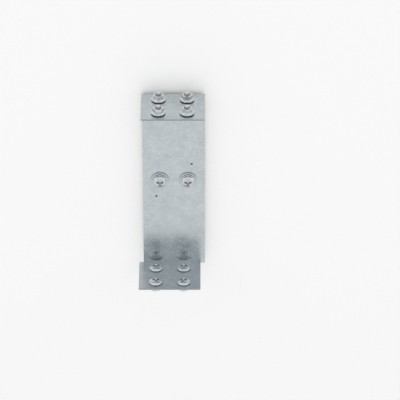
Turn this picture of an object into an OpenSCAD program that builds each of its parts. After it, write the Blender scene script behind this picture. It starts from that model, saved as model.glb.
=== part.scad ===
// Splice plate set for one joint of a steel cable tray.
// Three flat plates lie inside the tray: one on its base and one on each side wall.
// Screws pass outwards through the plates and the tray sheet and take flange nuts outside.
// X runs along the tray, Y across it, Z up out of its base. The origin is on the line where
// the two tray lengths meet, midway across, on the face of the base plate that bears on the tray.

/* [Tray at the joint] */
// Width of the tray between its side walls
tray_width = 200; // [100:10:400]
// Thickness of the tray's sheet, the slot left between each plate and its nuts
tray_sheet = 0.7; // [0.6:0.1:1.5]

/* [Plates] */
// Thickness of the three plates
plate_t = 1.5; // [1:0.1:2]
// Length of the base plate along the run
base_plate_l = 62; // [56:1:100]
// Gap between each end of the base plate and the side wall of the tray
base_end_gap = 0.5; // [0.3:0.1:0.8]
// Length of each side plate along the run
side_plate_l = 62; // [56:1:100]
// Height of each side plate
side_plate_h = 48; // [42:1:80]
// Corner radius of the plates
plate_corner_r = 1; // [0.5:0.1:3]

/* [Plate positions along the run] */
// Offset of the base plate from the joint line
base_shift = 1.5; // [-4:0.5:4]
// Offset of the left side plate, on the +Y wall
left_shift = 1; // [-4:0.5:4]
// Offset of the right side plate, on the -Y wall
right_shift = -3; // [-4:0.5:4]

/* [Holes] */
// Distance along the run between the two screws that straddle the joint
column_pitch = 28; // [24:1:34]
// Distance between the two rows of screws on a side plate
row_pitch = 25; // [20:1:26]
// Radial play of the screws in the plates
hole_play = 0.5; // [0.3:0.1:0.8]
// Diameter of the two small pierced holes in the base plate
pip_d = 2.2; // [1.5:0.1:3]
// Distance of a pierced hole from the plate's middle, along the run
pip_x = 17.7; // [12:0.1:22]
// Distance of a pierced hole from the plate's middle, across the tray
pip_y = 19; // [14:0.5:40]

/* [Screws] */
// Thread diameter
thread_d = 6; // [5:0.5:6]
// Chamfer at the tip of the thread
tip_chamfer = 0.8; // [0.3:0.1:1]
// Length under the head of the side plates' screws
side_screw_l = 10; // [10:1:16]
// Length under the head of the base plate's screws
base_screw_l = 12; // [12:1:20]
// Diameter of the collar of the head
collar_d = 14.5; // [13.6:0.1:15]
// Thickness of the collar at its rim
collar_t = 0.8; // [0.6:0.1:1]
// How much the rim of the collar draws in towards its bearing face
collar_draw = 0.4; // [0.2:0.1:0.6]
// Diameter of the dome where it meets the collar
dome_d = 12.8; // [11.5:0.1:13]
// Height of the whole head
head_h = 3.6; // [3.2:0.1:4.2]
// Width across the cross recess
recess_w = 6.8; // [6:0.1:7.2]
// Width of one arm of the cross
recess_arm = 2.2; // [1.6:0.1:2.4]
// Depth of the recess
recess_depth = 2.8; // [2:0.1:3]

/* [Nuts] */
// Width of the hexagon across its flats
nut_flats = 10; // [9:0.5:11]
// Height of the nut with its flange
nut_h = 6; // [5:0.5:6]
// Diameter of the flange
flange_d = 14.2; // [13:0.1:15]
// Thickness of the flange at its rim
flange_t = 1.1; // [0.8:0.1:1.4]
// Slope of the flange's top
flange_slope = 25; // [15:1:30]
// Play between the thread of a nut and that of its screw
thread_play = 0.05; // [0.02:0.01:0.1]
// Number of locking teeth on the bearing face of the flange
tooth_count = 20; // [12:1:24]
// Depth of the notches between those teeth
tooth_depth = 0.3; // [0.1:0.05:0.5]

/* [Washers] */
// Outside diameter of the washers under the base plate's screws
washer_d = 18; // [16:0.5:20]
// Thickness of the washers
washer_t = 1.6; // [1:0.1:1.6]
// Radial play of a washer on its screw
washer_play = 0.2; // [0.1:0.1:0.4]

/* [Hidden] */
$fn = 96;
SIDES = ["left", "right"];

plate_colour = [0.72, 0.75, 0.77];
screw_colour = [0.80, 0.82, 0.84];
nut_colour = [0.74, 0.76, 0.78];

base_plate_w = tray_width - 2 * base_end_gap;
hole_d = thread_d + 2 * hole_play;
row_inset = (side_plate_h - row_pitch) / 2;

// Screw places on each plate, measured from the middle of its length, row by row
base_places = [for (x = [-1, 1]) [x * column_pitch / 2, 0]];
side_places = [for (row = [0, 1]) for (x = [-1, 1])
    [x * column_pitch / 2, row_inset + row * row_pitch]];

// How far each nut was turned when it was tightened, in degrees
base_nut_turns = [14, 47];
side_nut_turns = [[31, 4, -4, 28], [11, 40, 23, 52]];

// Points along the outline of a dome
dome_steps = 8;
// Chamfer on the upper edge of the collar
collar_edge = 0.15;
// The recess narrows to this radius at its floor
recess_floor_r = recess_arm / 2 + 0.3;
// Overlap that lets a cut pass clean through a face
cut = 0.5;

// Height of the dome above the bearing face of the head, at radius r: a quarter of an ellipse
function dome_z(r) = collar_t + (head_h - collar_t) * sqrt(max(0, 1 - pow(2 * r / dome_d, 2)));

// Sheet blank with rounded corners: length along X centred, width along Y from 0
module blank(length, width) {
    r = plate_corner_r;
    translate([-length / 2, r, 0])
        cube([length, width - 2 * r, plate_t]);
    translate([-length / 2 + r, 0, 0])
        cube([length - 2 * r, width, plate_t]);
    for (x = [-length / 2 + r, length / 2 - r], y = [r, width - r])
        translate([x, y, 0])
            cylinder(r = r, h = plate_t);
}

// Round hole through a plate
module through_hole(d) {
    translate([0, 0, -cut])
        cylinder(d = d, h = plate_t + 2 * cut);
}

// Cross recess, open at the top of the head, with arms that taper to the floor
module cross_recess() {
    intersection() {
        for (turn = [0, 90])
            rotate([0, 0, turn])
                translate([-recess_w, -recess_arm / 2, head_h - recess_depth])
                    cube([2 * recess_w, recess_arm, recess_depth + cut]);
        translate([0, 0, head_h - recess_depth])
            cylinder(
                r1 = recess_floor_r,
                r2 = recess_w / 2 + (recess_w / 2 - recess_floor_r) * cut / recess_depth,
                h = recess_depth + cut
            );
    }
}

// Pan head screw with a collar, standing on its bearing face with the thread below
module screw(length) {
    dome = [for (i = [0:dome_steps])
        let (r = dome_d / 2 * sin(90 * i / dome_steps)) [r, dome_z(r)]];
    thread_r = thread_d / 2;
    color(screw_colour)
        difference() {
            rotate_extrude()
                polygon(concat(dome, [
                    [collar_d / 2 - collar_edge, collar_t],
                    [collar_d / 2, collar_t - collar_edge],
                    [collar_d / 2 - collar_draw, 0],
                    [thread_r, 0],
                    [thread_r, tip_chamfer - length],
                    [thread_r - tip_chamfer, -length],
                    [0, -length]
                ]));
            cross_recess();
        }
}

// Notches that leave a ring of locking teeth on the bearing face of a flange
module tooth_notches(inner_r) {
    notch_w = 2 * PI * inner_r / tooth_count * 0.6;
    for (i = [0:tooth_count - 1])
        rotate([0, 0, i * 360 / tooth_count])
            translate([inner_r, 0, 0])
                rotate([90, 0, 90])
                    linear_extrude(height = flange_d / 2)
                        polygon([
                            [-notch_w / 2, -cut],
                            [notch_w / 2, -cut],
                            [notch_w / 2, 0],
                            [-notch_w / 2, tooth_depth],
                        ]);
}

// Flange nut, standing on the bearing face of its flange
module flange_nut() {
    flats_r = nut_flats / 2;
    corner_r = flats_r / cos(30);
    flange_r = flange_d / 2;
    bore_r = thread_d / 2 + thread_play;
    lead_in = 0.4;
    flange_edge = 0.2;
    slope_h = (flange_r - flats_r) * tan(flange_slope);
    top_r = flats_r * 0.96;
    top_drop = (corner_r - top_r) * tan(30);
    color(nut_colour)
        difference() {
            union() {
                intersection() {
                    cylinder(r = corner_r, h = nut_h, $fn = 6);
                    rotate_extrude()
                        polygon([
                            [0, 0],
                            [corner_r + cut, 0],
                            [corner_r + cut, nut_h - top_drop - cut * tan(30)],
                            [top_r, nut_h],
                            [0, nut_h]
                        ]);
                }
                rotate_extrude()
                    polygon([
                        [0, 0],
                        [flange_r - flange_edge, 0],
                        [flange_r, flange_edge],
                        [flange_r, flange_t],
                        [flats_r, flange_t + slope_h],
                        [0, flange_t + slope_h]
                    ]);
            }
            rotate_extrude()
                polygon([
                    [0, -cut],
                    [bore_r + lead_in + cut, -cut],
                    [bore_r, lead_in],
                    [bore_r, nut_h - lead_in],
                    [bore_r + lead_in + cut, nut_h + cut],
                    [0, nut_h + cut]
                ]);
            tooth_notches(flats_r);
        }
}

// Flat enlarged washer
module washer() {
    color(screw_colour)
        difference() {
            cylinder(d = washer_d, h = washer_t);
            translate([0, 0, -cut])
                cylinder(d = thread_d + 2 * washer_play, h = washer_t + 2 * cut);
        }
}

// Local frames of the plates: the face that bears on the tray is at z = 0, its other face above it
module on_base() {
    translate([base_shift, 0, 0])
        children();
}

// A side plate stands on the base plate, against its wall
module on_wall(side) {
    if (side == "left")
        translate([left_shift, tray_width / 2, plate_t])
            rotate([90, 0, 0])
                children();
    else
        translate([right_shift, -tray_width / 2, plate_t])
            rotate([90, 0, 180])
                children();
}

module base_plate() {
    color(plate_colour)
        on_base()
            difference() {
                translate([0, -base_plate_w / 2, 0])
                    blank(base_plate_l, base_plate_w);
                for (p = base_places)
                    translate(p)
                        through_hole(hole_d);
                for (s = [-1, 1])
                    translate([s * pip_x, s * pip_y, 0])
                        through_hole(pip_d);
            }
}

module side_plate(side) {
    color(plate_colour)
        on_wall(side)
            difference() {
                blank(side_plate_l, side_plate_h);
                for (p = side_places)
                    translate(p)
                        through_hole(hole_d);
            }
}

// A screw with its head against the plate, or against what lies on the plate
module placed_screw(place, length, seat) {
    translate([place.x, place.y, plate_t + seat])
        screw(length);
}

// A nut on the far side of the tray's sheet
module placed_nut(place, turn) {
    translate([place.x, place.y, -tray_sheet])
        rotate([180, 0, 0])
            rotate([0, 0, -turn])
                flange_nut();
}

base_plate();
side_plate("left");  // left_side_plate
side_plate("right");  // right_side_plate

for (i = [0:1]) {
    on_base() placed_screw(base_places[i], base_screw_l, washer_t);
    on_base() translate([base_places[i].x, base_places[i].y, plate_t]) washer();
    on_base() placed_nut(base_places[i], base_nut_turns[i]);
}

for (s = [0:1], i = [0:3]) {
    on_wall(SIDES[s]) placed_screw(side_places[i], side_screw_l, 0);
    on_wall(SIDES[s]) placed_nut(side_places[i], side_nut_turns[s][i]);
}
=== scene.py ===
# %% [markdown]
# # A cable tray splice plate set
# Three flat steel plates join two lengths of cable tray: one lies on the base, one stands at each
# side. Screws with cross recesses pass outwards through them and take flange nuts.
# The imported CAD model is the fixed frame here. Every piece of this scene is modelled where the CAD
# says it is, in metres, and takes the place of one CAD solid.

# %% Load the frame
import math

import bmesh
import bpy
from mathutils import Matrix, Vector


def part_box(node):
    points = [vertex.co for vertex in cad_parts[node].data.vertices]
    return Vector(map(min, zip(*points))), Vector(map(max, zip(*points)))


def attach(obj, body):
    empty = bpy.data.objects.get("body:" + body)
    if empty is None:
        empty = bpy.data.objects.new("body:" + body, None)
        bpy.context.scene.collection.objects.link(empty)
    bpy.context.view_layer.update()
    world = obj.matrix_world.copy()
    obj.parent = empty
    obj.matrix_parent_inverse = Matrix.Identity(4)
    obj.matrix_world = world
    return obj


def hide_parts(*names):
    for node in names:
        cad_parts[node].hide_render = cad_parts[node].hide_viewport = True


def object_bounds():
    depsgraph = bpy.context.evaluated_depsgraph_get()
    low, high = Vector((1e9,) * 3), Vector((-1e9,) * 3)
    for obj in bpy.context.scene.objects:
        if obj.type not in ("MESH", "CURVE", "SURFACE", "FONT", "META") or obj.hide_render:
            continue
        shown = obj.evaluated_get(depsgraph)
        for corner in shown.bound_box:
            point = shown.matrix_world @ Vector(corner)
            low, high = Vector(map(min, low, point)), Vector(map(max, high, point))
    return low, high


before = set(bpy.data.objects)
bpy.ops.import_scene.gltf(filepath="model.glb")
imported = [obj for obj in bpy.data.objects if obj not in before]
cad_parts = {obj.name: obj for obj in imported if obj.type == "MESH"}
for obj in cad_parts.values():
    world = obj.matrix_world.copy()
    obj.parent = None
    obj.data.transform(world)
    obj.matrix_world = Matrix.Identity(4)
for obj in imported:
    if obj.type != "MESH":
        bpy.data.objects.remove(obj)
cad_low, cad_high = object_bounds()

MM = 0.001
print("CAD solids:", len(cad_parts), "box from", cad_low[:], "to", cad_high[:])

# %% [markdown]
# ## The camera
# The photograph looks at the base plate from 33 degrees off its normal, from the side of the left
# wall, so that the left plate shows its outer face with the nuts and the right plate shows the
# screw heads. Opposite edges are nearly parallel, so the lens is long and the camera far away.

# %% Camera
CAMERA_DISTANCE = 3.0
CAMERA_TILT = math.radians(32.91)
AIM = Vector((27.52, -24.7, 0)) * MM
# Focal length in pixels of a frame 400 pixels wide, as it was measured from the hole pattern
FOCAL_PIXELS = 2992
FRAME_PIXELS = 400

camera_data = bpy.data.cameras.new("camera")
camera_data.sensor_width = 36
camera_data.lens = camera_data.sensor_width * FOCAL_PIXELS / FRAME_PIXELS
camera_data.clip_start, camera_data.clip_end = 0.1, 30
camera = bpy.data.objects.new("camera", camera_data)
bpy.context.scene.collection.objects.link(camera)
camera.rotation_euler = (-CAMERA_TILT, 0, 0)
camera.location = AIM + CAMERA_DISTANCE * Vector((0, math.sin(CAMERA_TILT), math.cos(CAMERA_TILT)))
bpy.context.scene.camera = camera
print("camera lens:", round(camera_data.lens, 1), "mm")

# %% [markdown]
# ## One small function for nodes
# A material is a tree of nodes. This function adds one node with its settings and its links, and
# another turns a colour that is written as an sRGB hex value into the linear values that a shader
# works with.

# %% Node and colour helpers
def add_node(tree, kind, inputs=None, **settings):
    """Adds one node. An input is given a value, or another node's output to link to."""
    node = tree.nodes.new(kind)
    for name, value in settings.items():
        setattr(node, name, value)
    for socket, value in (inputs or {}).items():
        if isinstance(value, bpy.types.NodeSocket):
            tree.links.new(value, node.inputs[socket])
        else:
            node.inputs[socket].default_value = value
    return node


def colour(hex_value):
    """A colour such as C0C4C6, as linear red, green, blue and alpha."""
    parts = [int(hex_value[i:i + 2], 16) / 255 for i in (0, 2, 4)]
    linear = [p / 12.92 if p <= 0.04045 else ((p + 0.055) / 1.055) ** 2.4 for p in parts]
    return (*linear, 1)


def per_mm(size):
    """The texture scale at which a pattern repeats about once in so many millimetres."""
    return 1 / (size * MM)


def seen_directly(tree):
    """1 for rays from the camera and for those that metal and glass send on, and 0 for the rest."""
    path = add_node(tree, "ShaderNodeLightPath")
    seen = add_node(tree, "ShaderNodeMath", {
        0: path.outputs["Is Camera Ray"], 1: path.outputs["Is Glossy Ray"]}, operation="MAXIMUM")
    return add_node(tree, "ShaderNodeMath", {
        0: seen.outputs[0], 1: path.outputs["Is Transmission Ray"]}, operation="MAXIMUM").outputs[0]


# %% [markdown]
# ## Studio
# The object is shown on white. The world is white where the camera or a reflection sees it, and
# gives a plain, even light to everything else. The floor is pale, matt and keeps the soft shadow.
# Soft boxes at the sides put the bright patches on the screw heads.

# %% World
world = bpy.data.worlds.new("studio")
bpy.context.scene.world = world
world.use_nodes = True
tree = world.node_tree
tree.nodes.clear()
plain_light = add_node(tree, "ShaderNodeBackground", {"Color": colour("FFFFFF"), "Strength": 0.62})
white = add_node(tree, "ShaderNodeBackground", {"Color": colour("FFFFFF"), "Strength": 1.0})
mixed = add_node(tree, "ShaderNodeMixShader", {
    0: seen_directly(tree), 1: plain_light.outputs[0], 2: white.outputs[0]})
add_node(tree, "ShaderNodeOutputWorld", {"Surface": mixed.outputs[0]})

# %% Floor
bpy.ops.object.select_all(action="DESELECT")
bpy.ops.mesh.primitive_plane_add(size=12, location=(0, 0, cad_low.z))
floor = bpy.context.object
floor.name = "floor"

floor_finish = bpy.data.materials.new("white_paper_floor")
floor_finish.use_nodes = True
tree = floor_finish.node_tree
tree.nodes.clear()
paper = add_node(tree, "ShaderNodeBsdfDiffuse", {"Color": colour("F2F2F2")})
shaded = add_node(tree, "ShaderNodeBsdfDiffuse", {"Color": colour("D8D8D8")})
# Under the object the floor doesn't glow: a painted shadow there, which keeps it dark when seen through
# a hole
spot = add_node(tree, "ShaderNodeSeparateXYZ", {
    "Vector": add_node(tree, "ShaderNodeTexCoord").outputs["Object"]})
open_floor = 0.0
for way, inner_edge in (("X", 22 * MM), ("Y", 90 * MM)):
    off_centre = add_node(tree, "ShaderNodeMath", {0: spot.outputs[way]}, operation="ABSOLUTE")
    outside = add_node(tree, "ShaderNodeMapRange", {
        "Value": off_centre.outputs[0], "From Min": inner_edge, "From Max": inner_edge + 10 * MM,
        "To Max": 0.35}, interpolation_type="SMOOTHSTEP")
    open_floor = add_node(tree, "ShaderNodeMath", {0: outside.outputs[0], 1: open_floor},
                          operation="MAXIMUM").outputs[0]
glow = add_node(tree, "ShaderNodeEmission", {"Color": colour("FFFFFF"), "Strength": open_floor})
lit_paper = add_node(tree, "ShaderNodeAddShader", {0: shaded.outputs[0], 1: glow.outputs[0]})
shown = add_node(tree, "ShaderNodeMixShader", {
    0: seen_directly(tree), 1: paper.outputs[0], 2: lit_paper.outputs[0]})
# From below the floor is open, so that the underside can be looked at too
side = add_node(tree, "ShaderNodeNewGeometry")
clear = add_node(tree, "ShaderNodeBsdfTransparent")
one_sided = add_node(tree, "ShaderNodeMixShader", {
    0: side.outputs["Backfacing"], 1: shown.outputs[0], 2: clear.outputs[0]})
add_node(tree, "ShaderNodeOutputMaterial", {"Surface": one_sided.outputs[0]})
floor.data.materials.append(floor_finish)

# %% Lamps
def soft_box(name, place, aim, width, height, power):
    """A rectangular soft box that faces the point it is aimed at. Lengths in metres."""
    data = bpy.data.lights.new(name, "AREA")
    data.shape = "RECTANGLE"
    data.size, data.size_y = width, height
    data.energy = power
    lamp = bpy.data.objects.new(name, data)
    bpy.context.scene.collection.objects.link(lamp)
    lamp.location = place
    lamp.rotation_euler = (Vector(place) - Vector(aim)).to_track_quat("Z", "Y").to_euler()
    lamp.visible_camera = False
    return lamp


top_box = soft_box("top_box", (0, 0.2, 1.9), (0, 0, 0), 1.5, 1.5, 9)
top_box.visible_glossy = False
soft_box("left_box", (-1.35, 0.35, 0.8), (0, 0, 0), 0.9, 0.6, 1.0)
soft_box("right_box", (1.35, 0.35, 0.8), (0, 0, 0), 0.9, 0.6, 1.0)

# %% [markdown]
# Polished metal on plain white looks like paper, because all that it mirrors is white. A product
# photographer stands dark cards where the metal should show a dark line. Here two low cards carry
# the line of the left plate on to both sides. They show in reflections only, and take no light
# away.

# %% Dark cards
CARD_START, CARD_END, CARD_TOP = 40 * MM, 340 * MM, 50 * MM
card_finish = bpy.data.materials.new("dark_card")
card_finish.use_nodes = True
tree = card_finish.node_tree
tree.nodes.clear()
dark = add_node(tree, "ShaderNodeEmission", {"Color": colour("FFFFFF"), "Strength": 0.1})
add_node(tree, "ShaderNodeOutputMaterial", {"Surface": dark.outputs[0]})
for side in (-1, 1):
    bpy.ops.object.select_all(action="DESELECT")
    bpy.ops.mesh.primitive_plane_add(size=1, rotation=(math.radians(90), 0, 0), location=(
        side * (CARD_START + CARD_END) / 2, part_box("left_side_plate")[1].y, CARD_TOP / 2))
    card = bpy.context.object
    card.name = "dark_card"
    card.scale = (CARD_END - CARD_START, CARD_TOP, 1)
    card.data.materials.append(card_finish)
    card.visible_camera = card.visible_diffuse = card.visible_transmission = False
    card.visible_shadow = False
print("dark cards:", 2, "of", CARD_END - CARD_START, "by", CARD_TOP, "m")

# %% [markdown]
# ## Working with operators
# Every piece starts as a primitive and is shaped with the same tools as by hand. An operator acts
# on what is selected, so the first helpers clear the selection, pick objects, and select parts of
# a mesh by their place.

# %% Selection helpers
def clear_selection():
    """Object mode, with nothing selected."""
    if bpy.context.object and bpy.context.object.mode != "OBJECT":
        bpy.ops.object.mode_set(mode="OBJECT")
    bpy.ops.object.select_all(action="DESELECT")


def pick(piece):
    """Only this piece is selected, and active."""
    clear_selection()
    piece.select_set(True)
    bpy.context.view_layer.objects.active = piece
    return piece


def edit(piece):
    """Edit mode on this piece, with all of its mesh selected."""
    pick(piece)
    bpy.ops.object.mode_set(mode="EDIT")
    bpy.ops.mesh.select_all(action="SELECT")


def select_edges(piece, test):
    """In edit mode, selects the edges whose two ends pass the test."""
    bpy.ops.mesh.select_mode(type="EDGE")
    bpy.ops.mesh.select_all(action="DESELECT")
    shape = bmesh.from_edit_mesh(piece.data)
    for edge in shape.edges:
        if test(edge.verts[0].co, edge.verts[1].co):
            edge.select = True
    shape.select_flush_mode()
    bmesh.update_edit_mesh(piece.data)


def select_points(piece, test):
    """In edit mode, selects the points that pass the test."""
    bpy.ops.mesh.select_mode(type="VERT")
    bpy.ops.mesh.select_all(action="DESELECT")
    shape = bmesh.from_edit_mesh(piece.data)
    for point in shape.verts:
        if test(point.co):
            point.select = True
    shape.select_flush_mode()
    bmesh.update_edit_mesh(piece.data)


# %% Shaping helpers
def close_up(merge=1e-6):
    """Merges the doubled points of the mesh in edit mode and turns its faces outwards."""
    bpy.ops.mesh.select_all(action="SELECT")
    bpy.ops.mesh.remove_doubles(threshold=merge)
    bpy.ops.mesh.normals_make_consistent(inside=False)
    bpy.ops.object.mode_set(mode="OBJECT")


def draw(name, outline):
    """A line through points (x, z) in millimetres, drawn from one point by extruding it."""
    clear_selection()
    bpy.ops.mesh.primitive_plane_add(size=MM)
    piece = bpy.context.object
    piece.name = name
    edit(piece)
    bpy.ops.mesh.select_mode(type="VERT")
    bpy.ops.mesh.merge(type="CENTER")
    x, z = outline[0]
    bpy.ops.transform.translate(value=(x * MM, 0, z * MM))
    for (x1, z1), (x2, z2) in zip(outline, outline[1:]):
        bpy.ops.mesh.extrude_region_move(
            TRANSFORM_OT_translate={"value": ((x2 - x1) * MM, 0, (z2 - z1) * MM)})
    return piece


def turn(name, outline, steps=64):
    """Spins an outline of (radius, height) points in millimetres round the Z axis."""
    piece = draw(name, outline)
    bpy.ops.mesh.select_all(action="SELECT")
    bpy.ops.mesh.spin(steps=steps, angle=math.tau, center=(0, 0, 0), axis=(0, 0, 1))
    close_up()
    return piece


def combine(piece, tool, operation, keep_tool=False):
    """UNION, DIFFERENCE or INTERSECT with another closed shape."""
    pick(piece)
    modifier = piece.modifiers.new("cut", "BOOLEAN")
    modifier.operation = operation
    modifier.solver = "EXACT"
    modifier.object = tool
    bpy.ops.object.modifier_apply(modifier=modifier.name)
    if not keep_tool:
        bpy.data.objects.remove(tool)
    return piece


def arc(x, z, radius, start, end, steps):
    """Points of an arc round (x, z), from one angle to another in degrees."""
    angles = [math.radians(start + (end - start) * i / steps) for i in range(steps + 1)]
    return [(x + radius * math.cos(a), z + radius * math.sin(a)) for a in angles]


def triangles(piece):
    return sum(len(face.vertices) - 2 for face in piece.data.polygons)


# %% [markdown]
# ## The plates
# Each plate is cut from 1.5 mm hot-dip galvanised sheet on a shear and punched. It could be a
# flat cube with a bevel, or a flat outline that is extruded. The cube is used, because its size
# comes straight from the CAD node's box. Its corners are rounded by a bevel, the holes are
# punched with cylinders, and a last fine bevel gives the edges the small radius that a real
# sheared edge has and that catches the light.

# %% Plate helpers
EDGE_RADIUS = 0.12
CORNER_RADIUS = 1.0
HOLE_RADIUS = 3.5


def plate_blank(name, node, across):
    """A cube of the node's size and place, with rounded corners. Its thin axis is 1 or 2."""
    low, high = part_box(node)
    clear_selection()
    bpy.ops.mesh.primitive_cube_add(size=1, location=(low + high) / 2)
    piece = bpy.context.object
    piece.name = name
    piece.scale = high - low
    bpy.ops.object.transform_apply(location=True, rotation=True, scale=True)
    edit(piece)
    thin = [0, 0, 0]
    thin[across] = 1
    thin = Vector(thin)
    select_edges(piece, lambda a, b: (a - b).normalized().dot(thin) ** 2 > 0.9)
    bpy.ops.mesh.bevel(offset=CORNER_RADIUS * MM, segments=6, affect="EDGES")
    bpy.ops.object.mode_set(mode="OBJECT")
    return piece


def punch(piece, centre, across, radius, facets=64):
    """Cuts a round hole through a plate, along its thin axis."""
    clear_selection()
    lean = (math.radians(90), 0, 0) if across == 1 else (0, 0, 0)
    bpy.ops.mesh.primitive_cylinder_add(
        vertices=facets, radius=radius * MM, depth=6 * MM, location=centre, rotation=lean)
    return combine(piece, bpy.context.object, "DIFFERENCE")


def soften(piece, width, segments=2, angle=35):
    """Rounds the sharp edges a little."""
    pick(piece)
    modifier = piece.modifiers.new("edge", "BEVEL")
    modifier.width = width * MM
    modifier.segments = segments
    modifier.limit_method = "ANGLE"
    modifier.angle_limit = math.radians(angle)
    bpy.ops.object.modifier_apply(modifier=modifier.name)
    return piece


def shade(piece, angle=30):
    """Shades curved parts smooth. Large faces set the normals they share, so they stay flat."""
    pick(piece)
    bpy.ops.object.shade_smooth_by_angle(angle=math.radians(angle))
    modifier = piece.modifiers.new("shading", "WEIGHTED_NORMAL")
    modifier.keep_sharp = True
    modifier.weight = 50
    bpy.ops.object.modifier_apply(modifier=modifier.name)
    return piece


def middle(node):
    low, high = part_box(node)
    return (low + high) / 2


# %% Make the plates
plates = {}
for node, across in (("base_plate", 2), ("left_side_plate", 1), ("right_side_plate", 1)):
    plate = plate_blank(node + "_sheet", node, across)
    screws = [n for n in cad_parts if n.startswith(node.split("_")[0] + "_screw")]
    for screw in sorted(screws):
        at = middle(screw)
        at[across] = middle(node)[across]
        punch(plate, at, across, HOLE_RADIUS)
    plates[node] = plate

# Two small pierced holes, point-symmetric about the middle of the base plate
PIP_RADIUS, PIP_X, PIP_Y = 1.1, 17.7, 19
for sign in (-1, 1):
    at = middle("base_plate") + Vector((PIP_X, PIP_Y, 0)) * MM * sign
    punch(plates["base_plate"], at, 2, PIP_RADIUS, facets=32)
for node, plate in plates.items():
    shade(soften(plate, EDGE_RADIUS))
    print(plate.name, triangles(plate), "triangles")

# %% [markdown]
# ## The thread
# A rolled M6 thread is a ridge that climbs 1 mm in each turn. It could be painted as rings with
# bump, but then the silhouette of the screw's end would stay smooth and the spiral would be
# missing. Here one pitch of its outline is drawn, the Screw modifier winds it up, and two bisects
# cut the ends flat and close them. The same core, a little thicker, later taps the nuts.

# %% Thread
PITCH = 1.0
THREAD_RADIUS = 3.0
ROOT_RADIUS = 2.46
# One pitch: root, flank, crest, flank, root, as (radius, height)
THREAD_OUTLINE = [(2.40, 0), (ROOT_RADIUS, 0.125), (THREAD_RADIUS - 0.04, 0.415),
                  (THREAD_RADIUS, 0.45), (THREAD_RADIUS, 0.55), (THREAD_RADIUS - 0.04, 0.585),
                  (ROOT_RADIUS, 0.875), (2.40, 1.0)]


def thread_core(name, low, high, play=0):
    """A threaded rod between two heights in millimetres, thicker by the play."""
    start = low - 1.5 * PITCH
    piece = draw(name, [(r + play, start + z * PITCH) for r, z in THREAD_OUTLINE])
    bpy.ops.object.mode_set(mode="OBJECT")
    modifier = piece.modifiers.new("wind", "SCREW")
    modifier.axis = "Z"
    modifier.angle = math.tau
    modifier.screw_offset = PITCH * MM
    modifier.iterations = math.ceil((high - low) / PITCH) + 3
    modifier.steps = modifier.render_steps = 48
    modifier.use_merge_vertices = False
    bpy.ops.object.modifier_apply(modifier=modifier.name)
    edit(piece)
    bpy.ops.mesh.remove_doubles(threshold=1e-6)
    for height, below in ((low, True), (high, False)):
        bpy.ops.mesh.select_all(action="SELECT")
        bpy.ops.mesh.bisect(plane_co=(0, 0, height * MM), plane_no=(0, 0, 1), threshold=1e-7,
                            use_fill=True, clear_inner=below, clear_outer=not below)
    close_up()
    return piece


# %% [markdown]
# ## The screws
# The head is a pan head with a collar, forged cold from wire: a shallow dome on a thin round
# flange, with a cross recess struck into it. It is a turned outline. The rim of the collar is
# rounded both ways, as forging leaves it, so its lower half mirrors the plate it sits on and
# draws the dark line under each head. The underside of the rim also takes a darker zinc, a
# painted shade that deepens this line.

# %% Screw head
COLLAR_RADIUS, COLLAR_THICKNESS = 7.25, 0.8
DOME_RADIUS, HEAD_HEIGHT = 6.4, 3.6
RECESS_WIDTH, RECESS_ARM, RECESS_DEPTH = 7.8, 2.5, 2.8


def head_outline():
    """The head's outline, from its top on the axis to its bearing face on the axis."""
    rise = (HEAD_HEIGHT - COLLAR_THICKNESS) / DOME_RADIUS
    dome = [(r, COLLAR_THICKNESS + z * rise) for r, z in arc(0, 0, DOME_RADIUS, 90, 0, 24)]
    dome[0] = (0, HEAD_HEIGHT)
    # The dome runs out into the collar through a small hollow
    dome[-1] = (DOME_RADIUS, COLLAR_THICKNESS + 0.12)
    return dome + [
        (DOME_RADIUS + 0.12, COLLAR_THICKNESS), (COLLAR_RADIUS - 0.15, COLLAR_THICKNESS),
        (COLLAR_RADIUS - 0.04, COLLAR_THICKNESS - 0.05), (COLLAR_RADIUS, COLLAR_THICKNESS - 0.15),
        (COLLAR_RADIUS - 0.02, COLLAR_THICKNESS - 0.25), (COLLAR_RADIUS - 0.45, 0.04),
        (COLLAR_RADIUS - 0.52, 0), (0, 0)]


head = turn("screw_head", head_outline(), steps=96)
print("head:", triangles(head), "triangles")

# %% [markdown]
# The recess is a cross whose four arms narrow to a small flat at the bottom. The tool that cuts
# it starts as a cube: its sides are extruded into arms, the inner corners are bevelled as on a
# real driver bit, and the lower end is scaled in.

# %% Cross recess
def recess_tool():
    """A cross-shaped punch, wide above the head's top and narrow at the recess floor."""
    top, bottom = HEAD_HEIGHT + 0.4, HEAD_HEIGHT - RECESS_DEPTH
    clear_selection()
    bpy.ops.mesh.primitive_cube_add(size=1)
    piece = bpy.context.object
    piece.name = "recess_tool"
    piece.scale = (RECESS_ARM * MM, RECESS_ARM * MM, (top - bottom) * MM)
    piece.location.z = (top + bottom) / 2 * MM
    bpy.ops.object.transform_apply(location=True, rotation=True, scale=True)
    edit(piece)
    half = RECESS_ARM / 2 * MM
    for axis in (0, 1):
        for sign in (-1, 1):
            reach = Vector((0, 0, 0))
            reach[axis] = sign * (RECESS_WIDTH - RECESS_ARM) / 2 * MM
            select_points(piece, lambda co: abs(co[axis] - sign * half) < 1e-6
                          and abs(co[1 - axis]) < half + 1e-6)
            bpy.ops.mesh.select_mode(type="FACE")
            bpy.ops.mesh.extrude_region_move(TRANSFORM_OT_translate={"value": reach})
    select_edges(piece, lambda a, b: abs(a.z - b.z) > 1 * MM
                 and abs(abs(a.x) - half) < 1e-6 and abs(abs(a.y) - half) < 1e-6)
    bpy.ops.mesh.bevel(offset=0.35 * MM, segments=2, affect="EDGES")
    narrow = 0.6
    select_points(piece, lambda co: co.z < (bottom + 0.1) * MM)
    bpy.ops.transform.resize(value=(narrow, narrow, 1), center_override=(0, 0, bottom * MM))
    close_up()
    return piece


combine(head, recess_tool(), "DIFFERENCE")
print("head with its recess:", triangles(head), "triangles")

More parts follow.
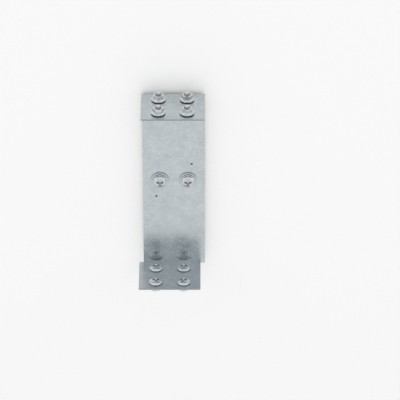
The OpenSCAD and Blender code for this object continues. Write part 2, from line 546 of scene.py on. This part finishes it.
# %% Screws of two lengths
SCREW_LENGTHS = {"base": 12, "left": 10, "right": 10}
TIP_CHAMFER = 0.8


def make_screw(length):
    """Head and threaded shank, on the Z axis, with the bearing face at zero."""
    shank = thread_core("shank", -length, 0.5)
    r, tip = THREAD_RADIUS + 0.3, -length
    inner = THREAD_RADIUS - TIP_CHAMFER
    form = turn("tip_form", [(0, 1), (r, 1), (r, tip + TIP_CHAMFER + 0.3), (inner, tip),
                             (inner - 0.4, tip - 0.5), (0, tip - 0.5)], steps=48)
    combine(shank, form, "INTERSECT")
    pick(head)
    bpy.ops.object.duplicate()
    screw = bpy.context.object
    screw.name = f"screw_{length}"
    combine(screw, shank, "UNION")
    return shade(screw, 35)


def screw_parts(model, length):
    """For each face of a screw: 0 outside, 1 in the recess, 2 on the end face, which takes a painted
    highlight, 3 on the thread and under the collar's rim, which take a painted shade.
    """
    parts = []
    for face in model.data.polygons:
        x, y, z = face.center / MM
        spread_out = min(1, math.hypot(x, y) / DOME_RADIUS)
        dome = COLLAR_THICKNESS + (HEAD_HEIGHT - COLLAR_THICKNESS) * math.sqrt(1 - spread_out ** 2)
        in_recess = 0.5 < z < dome - 0.06 and math.hypot(x, y) < RECESS_WIDTH / 2
        # The thread and the underside of the collar's rim take a darker zinc, a painted shade
        painted_shade_under_rim = z < COLLAR_THICKNESS - 0.2 and math.hypot(x, y) > COLLAR_RADIUS - 0.6
        parts.append(1 if in_recess else 2 if z < 0.02 - length else 3 if z < -0.01 or painted_shade_under_rim else 0)
    return parts


screw_models = {length: make_screw(length) for length in set(SCREW_LENGTHS.values())}
bpy.data.objects.remove(head)
screw_marks = {length: screw_parts(model, length) for length, model in screw_models.items()}
for length, model in sorted(screw_models.items()):
    marks = screw_marks[length]
    print("screw", length, "mm:", triangles(model), "triangles,", marks.count(1), "faces in the recess")

# %% [markdown]
# ## The nuts
# A flange nut is forged from hexagonal wire: a hexagon with its top corners turned off at
# 30 degrees, on a round sloping flange whose bearing face has a ring of locking teeth. The
# hexagon is a six-sided cylinder, and a turned outline takes its corners off where they would
# be round on the lathe, which leaves the curved chamfer line on every flat.

# %% Nut blank
NUT_FLATS, NUT_HEIGHT = 10.0, 6.0
FLANGE_RADIUS, FLANGE_THICKNESS, FLANGE_SLOPE = 7.1, 1.1, 25
BORE_RADIUS, LEAD_IN_RADIUS = 2.5, 3.45
TOOTH_COUNT, TOOTH_DEPTH = 20, 0.3

flats = NUT_FLATS / 2
corners = flats / math.cos(math.radians(30))
clear_selection()
bpy.ops.mesh.primitive_cylinder_add(
    vertices=6, radius=corners * MM, depth=NUT_HEIGHT * MM,
    location=(0, 0, NUT_HEIGHT / 2 * MM), rotation=(0, 0, math.radians(30)))
nut = bpy.context.object
nut.name = "nut"
bpy.ops.object.transform_apply(location=True, rotation=True, scale=True)
edit(nut)
select_edges(nut, lambda a, b: abs(a.z - b.z) > 1 * MM)
bpy.ops.mesh.bevel(offset=0.2 * MM, segments=3, affect="EDGES")
bpy.ops.object.mode_set(mode="OBJECT")

crown_radius = flats * 0.96
crown_drop = (corners + 0.5 - crown_radius) * math.tan(math.radians(30))
crown = turn("crown", [(0, -1), (corners + 0.5, -1), (corners + 0.5, NUT_HEIGHT - crown_drop),
                       (crown_radius, NUT_HEIGHT), (0, NUT_HEIGHT)], steps=96)
combine(nut, crown, "INTERSECT")

rim = 0.18
slope = math.tan(math.radians(FLANGE_SLOPE))
slope_height = (FLANGE_RADIUS - flats) * slope
flange = turn("flange", [(0, 0), (FLANGE_RADIUS - rim, 0), (FLANGE_RADIUS, rim)] + arc(
    FLANGE_RADIUS - rim, FLANGE_THICKNESS - rim, rim, 0, 65, 4) + [
    (flats, FLANGE_THICKNESS + slope_height), (0, FLANGE_THICKNESS + slope_height)], steps=96)
combine(nut, flange, "UNION")

bore = turn("bore", [(0, -1), (LEAD_IN_RADIUS + 1, -1), (BORE_RADIUS, LEAD_IN_RADIUS - BORE_RADIUS),
                     (BORE_RADIUS, NUT_HEIGHT - LEAD_IN_RADIUS + BORE_RADIUS),
                     (LEAD_IN_RADIUS + 1, NUT_HEIGHT + 1), (0, NUT_HEIGHT + 1)], steps=48)
combine(nut, bore, "DIFFERENCE")

# %% [markdown]
# The teeth are what is left between shallow notches. One notch is a cube with a sloping roof, and
# spin repeats it round the axis.

# %% Locking teeth
notch_width = math.tau * flats / TOOTH_COUNT * 0.6
clear_selection()
bpy.ops.mesh.primitive_cube_add(size=1)
notches = bpy.context.object
notches.scale = (3 * MM, notch_width * MM, 1 * MM)
notches.location = ((flats + 1.5) * MM, 0, (TOOTH_DEPTH - 0.5) * MM)
bpy.ops.object.transform_apply(location=True, rotation=True, scale=True)
edit(notches)
select_points(notches, lambda co: co.z > 0 and co.y > 0)
bpy.ops.transform.translate(value=(0, 0, -(TOOTH_DEPTH - 0.01) * MM))
bpy.ops.mesh.select_all(action="SELECT")
bpy.ops.mesh.spin(steps=TOOTH_COUNT - 1, dupli=True, center=(0, 0, 0), axis=(0, 0, 1),
                  angle=math.tau * (TOOTH_COUNT - 1) / TOOTH_COUNT)
bpy.ops.mesh.select_all(action="SELECT")
bpy.ops.mesh.normals_make_consistent(inside=False)
bpy.ops.object.mode_set(mode="OBJECT")
combine(nut, notches, "DIFFERENCE")
print("nut blank:", triangles(nut), "triangles")

# %% [markdown]
# ## The washers
# An enlarged flat washer, punched from strip. The die rounds the edge on the side it enters and
# leaves the other side nearly sharp, so the outline has a larger radius above than below.

# %% Washer
WASHER_RADIUS, WASHER_HOLE, WASHER_THICKNESS = 9.0, 3.2, 1.6
upper, lower = 0.3, 0.08
inner = [(WASHER_HOLE, lower)] + arc(
    WASHER_HOLE + upper, WASHER_THICKNESS - upper, upper, 180, 90, 4)
outer = arc(WASHER_RADIUS - upper, WASHER_THICKNESS - upper, upper, 90, 0, 4) + [
    (WASHER_RADIUS, lower), (WASHER_RADIUS - lower, 0), (WASHER_HOLE + lower, 0)]
washer = shade(turn("washer", inner + outer + [inner[0]], steps=96), 35)
print("washer:", triangles(washer), "triangles")

# %% [markdown]
# ## Fitting the fasteners
# Every fastener was modelled on the Z axis. A copy goes to each CAD node of its kind: the middle
# of the node's box gives the axis, and its end gives the bearing face. The nuts were run on until
# they were tight, so each stands at its own angle, and each is tapped in place with the thread of
# its own screw, so that the two spirals meet as real ones do.

# %% Places
# How a fastener's own axes lie at each plate: the columns are its X, Y and Z axes
AXES = {
    "base": Matrix(((1, 0, 0), (0, 1, 0), (0, 0, 1))),
    "left": Matrix(((1, 0, 0), (0, 0, -1), (0, 1, 0))),
    "right": Matrix(((-1, 0, 0), (0, 0, 1), (0, 1, 0))),
}
NUT_TURNS = {"base": [14, 47], "left": [31, 4, -4, 28], "right": [11, 40, 23, 52]}


def end_of(node, way):
    """The middle of the end face of a node's box, on the side that way points to."""
    low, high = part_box(node)
    return (low + high) / 2 + way * abs((high - low).dot(way)) / 2


def fit(model, name, at, axes):
    """A copy of a model with its own mesh, moved to its place, with the move applied."""
    pick(model)
    bpy.ops.object.duplicate()
    piece = bpy.context.object
    piece.name = piece.data.name = name
    piece.matrix_world = Matrix.Translation(at) @ axes.to_4x4()
    bpy.ops.object.transform_apply(location=True, rotation=True, scale=True)
    return piece


# %% Place screws, washers and nuts
# Cutting one spiral with another leaves slivers up to this wide, which merging takes up
SLIVER = 0.015
tap = thread_core("tap", -14, 1, play=0.05)
fitted = {"screw": [], "nut": [], "washer": []}
for wall, axes in AXES.items():
    way = axes.col[2]
    for i, turned in enumerate(NUT_TURNS[wall], start=1):
        screw_node, nut_node = f"{wall}_screw_{i}", f"{wall}_nut_{i}"
        seat = end_of(screw_node, -way) + way * SCREW_LENGTHS[wall] * MM
        screw = fit(screw_models[SCREW_LENGTHS[wall]], f"{screw_node}_zinc", seat, axes)
        nut_axes = axes @ Matrix.Rotation(math.pi, 3, "X") @ Matrix.Rotation(
            math.radians(-turned), 3, "Z")
        placed_nut = fit(nut, f"{nut_node}_zinc", end_of(nut_node, way), nut_axes)
        cutter = fit(tap, "cutter", seat, axes)
        combine(placed_nut, cutter, "DIFFERENCE")
        edit(placed_nut)
        close_up(merge=SLIVER * MM)
        shade(placed_nut)
        fitted["screw"].append((screw, screw_node))
        fitted["nut"].append((placed_nut, nut_node))
for i in (1, 2):
    node = f"base_washer_{i}"
    low_face = end_of(node, Vector((0, 0, -1)))
    fitted["washer"].append((fit(washer, f"{node}_zinc", low_face, AXES["base"]), node))
for model in [nut, washer, tap, *screw_models.values()]:
    bpy.data.objects.remove(model)
for kind, pieces in fitted.items():
    print(kind, len(pieces), "pieces,", sum(triangles(p) for p, n in pieces), "triangles")

# %% [markdown]
# ## Hot-dip galvanised sheet
# Steel strip that was drawn through molten zinc and lightly rolled afterwards. The zinc froze in
# small crystals that the rolling flattened, so the surface is a silky pale grey mirror with a
# faint cloudiness, a fine grain and a little waviness. The crystals are drawn 2 mm wide.

# %% Galvanised sheet
def new_finish(name):
    """An empty material with its tree and object coordinates."""
    finish = bpy.data.materials.new(name)
    finish.use_nodes = True
    finish.node_tree.nodes.clear()
    place = add_node(finish.node_tree, "ShaderNodeTexCoord").outputs["Object"]
    return finish, finish.node_tree, place


def tones(tree, factor, stops):
    """A colour ramp with (position, hex colour) stops."""
    ramp = add_node(tree, "ShaderNodeValToRGB", {"Fac": factor})
    elements = ramp.color_ramp.elements
    while len(elements) < len(stops):
        elements.new(0.5)
    for element, (position, hex_value) in zip(elements, stops):
        element.position, element.color = position, colour(hex_value)
    return ramp.outputs["Color"]


def blend_values(tree, parts):
    """The sum of some values, each times its share."""
    total = None
    for value, share in parts:
        inputs = {0: value, 1: share, 2: 0.0 if total is None else total}
        total = add_node(tree, "ShaderNodeMath", inputs, operation="MULTIPLY_ADD").outputs[0]
    return total


def spread(tree, value, low, high):
    """Maps a value from 0.3 to 0.7, where noise mostly lies, to the range given."""
    return add_node(tree, "ShaderNodeMapRange", {
        "Value": value, "From Min": 0.3, "From Max": 0.7, "To Min": low, "To Max": high,
    }).outputs["Result"]


sheet, tree, place = new_finish("hot_dip_galvanised_sheet")
clouds = add_node(tree, "ShaderNodeTexNoise", {
    "Vector": place, "Scale": per_mm(13), "Detail": 4.0, "Roughness": 0.6}).outputs["Fac"]
grain = add_node(tree, "ShaderNodeTexNoise", {
    "Vector": place, "Scale": per_mm(1.1), "Detail": 2.0}).outputs["Fac"]
crystals = add_node(tree, "ShaderNodeTexVoronoi", {
    "Vector": place, "Scale": per_mm(2.0)}).outputs["Color"]
crystal = add_node(tree, "ShaderNodeSeparateColor", {"Color": crystals}).outputs[0]
waves = add_node(tree, "ShaderNodeTexNoise", {
    "Vector": place, "Scale": per_mm(38), "Detail": 1.0}).outputs["Fac"]
mottle = blend_values(tree, [(clouds, 0.55), (grain, 0.3), (crystal, 0.15)])
skin = tones(tree, mottle, [(0.3, "B1B8BB"), (0.5, "BDC4C7"), (0.7, "CAD0D2")])
shine = spread(tree, blend_values(tree, [(clouds, 0.4), (crystal, 0.3), (grain, 0.3)]), 0.18, 0.3)
waviness = add_node(tree, "ShaderNodeBump", {
    "Height": waves, "Strength": 1.0, "Distance": 0.05 * MM})
fine = add_node(tree, "ShaderNodeBump", {
    "Height": grain, "Strength": 1.0, "Distance": 0.0006 * MM, "Normal": waviness.outputs[0]})
zinc = add_node(tree, "ShaderNodeBsdfPrincipled", {
    "Base Color": skin, "Metallic": 1.0, "Roughness": shine, "Normal": fine.outputs[0]})
add_node(tree, "ShaderNodeOutputMaterial", {"Surface": zinc.outputs[0]})

# %% [markdown]
# The zinc stops at the cut. A sheared edge shows the bare steel, darker and duller than the coat,
# with fine scoring across the thickness.

# %% Sheared steel edge
cut_edge, tree, place = new_finish("sheared_steel_edge")
scoring = add_node(tree, "ShaderNodeTexNoise", {
    "Vector": place, "Scale": per_mm(0.35), "Detail": 2.0}).outputs["Fac"]
steel = add_node(tree, "ShaderNodeBsdfPrincipled", {
    "Base Color": tones(tree, scoring, [(0.3, "85898B"), (0.7, "A3A7A9")]), "Metallic": 1.0,
    "Roughness": spread(tree, scoring, 0.32, 0.46)})
add_node(tree, "ShaderNodeOutputMaterial", {"Surface": steel.outputs[0]})

# %% [markdown]
# ## Clear zinc plate
# Screws, nuts and washers are zinc-plated in a barrel and passivated clear, which leaves a
# brighter, slightly blue metal than the sheet. Tumbling dulls it unevenly.

# %% Zinc-plated fasteners
def zinc_plate(name, dark, light, low, high):
    """Clear zinc plate between two tones, with roughness between two values."""
    finish, tree, place = new_finish(name)
    stain = add_node(tree, "ShaderNodeTexNoise", {
        "Vector": place, "Scale": per_mm(3), "Detail": 3.0}).outputs["Fac"]
    peel = add_node(tree, "ShaderNodeTexNoise", {
        "Vector": place, "Scale": per_mm(0.5), "Detail": 1.0}).outputs["Fac"]
    bump = add_node(tree, "ShaderNodeBump", {
        "Height": peel, "Strength": 1.0, "Distance": 0.002 * MM})
    plating = add_node(tree, "ShaderNodeBsdfPrincipled", {
        "Base Color": tones(tree, stain, [(0.3, dark), (0.7, light)]), "Metallic": 1.0,
        "Roughness": spread(tree, stain, low, high), "Normal": bump.outputs[0]})
    add_node(tree, "ShaderNodeOutputMaterial", {"Surface": plating.outputs[0]})
    return finish


screw_zinc = zinc_plate("clear_zinc_plated_screw", "B9BEC3", "CDD1D5", 0.12, 0.2)
recess_zinc = zinc_plate("matt_zinc_in_the_recess", "BEC2C6", "CED2D5", 0.32, 0.44)
# A darker zinc on the thread and under the collar's rim: painted shade where the turns of the thread
# and the gap under the head would be in shadow
thread_and_rim_shade_zinc = zinc_plate("zinc_with_painted_shade_on_thread_and_rim", "8A8E92", "A0A4A7", 0.3, 0.42)
# A lighter zinc on the screw's end face: a painted highlight
end_highlight_zinc = zinc_plate("zinc_end_with_painted_highlight", "C8CDD1", "DADEE1", 0.12, 0.2)
nut_zinc = zinc_plate("clear_zinc_plated_nut", "C4C8CB", "D9DCDE", 0.2, 0.32)
washer_zinc = zinc_plate("clear_zinc_plated_washer", "ACB2B5", "C2C7CA", 0.2, 0.3)

# %% Put the finishes on, and tie each piece to its CAD node
def hand_over(piece, node, slot, *finishes):
    """The piece takes its finishes, replaces a CAD node and rides on the root body."""
    piece.data.materials.clear()
    for finish in finishes:
        piece.data.materials.append(finish)
    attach(piece, "root")
    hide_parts(node)


for node, plate in plates.items():
    across = 2 if node == "base_plate" else 1
    hand_over(plate, node, "galvanised_sheet", sheet, cut_edge)
    for face in plate.data.polygons:
        face.material_index = 1 if abs(face.normal[across]) < 0.5 else 0
for piece, node in fitted["screw"]:
    hand_over(piece, node, "zinc_screw", screw_zinc, recess_zinc, end_highlight_zinc, thread_and_rim_shade_zinc)
    piece.data.polygons.foreach_set("material_index", screw_marks[SCREW_LENGTHS[node.split("_")[0]]])
for kind, finish in (("nut", nut_zinc), ("washer", washer_zinc)):
    for piece, node in fitted[kind]:
        hand_over(piece, node, "zinc_" + kind, finish)
        piece.data.polygons.foreach_set("material_index", [0] * len(piece.data.polygons))
print("replaced nodes:", len(plates) + sum(len(p) for p in fitted.values()))

# %% [markdown]
# ## Colour management
# The view transform is Standard, so that a colour shows as it is written.

# %% Finish
bpy.context.scene.view_settings.view_transform = "Standard"
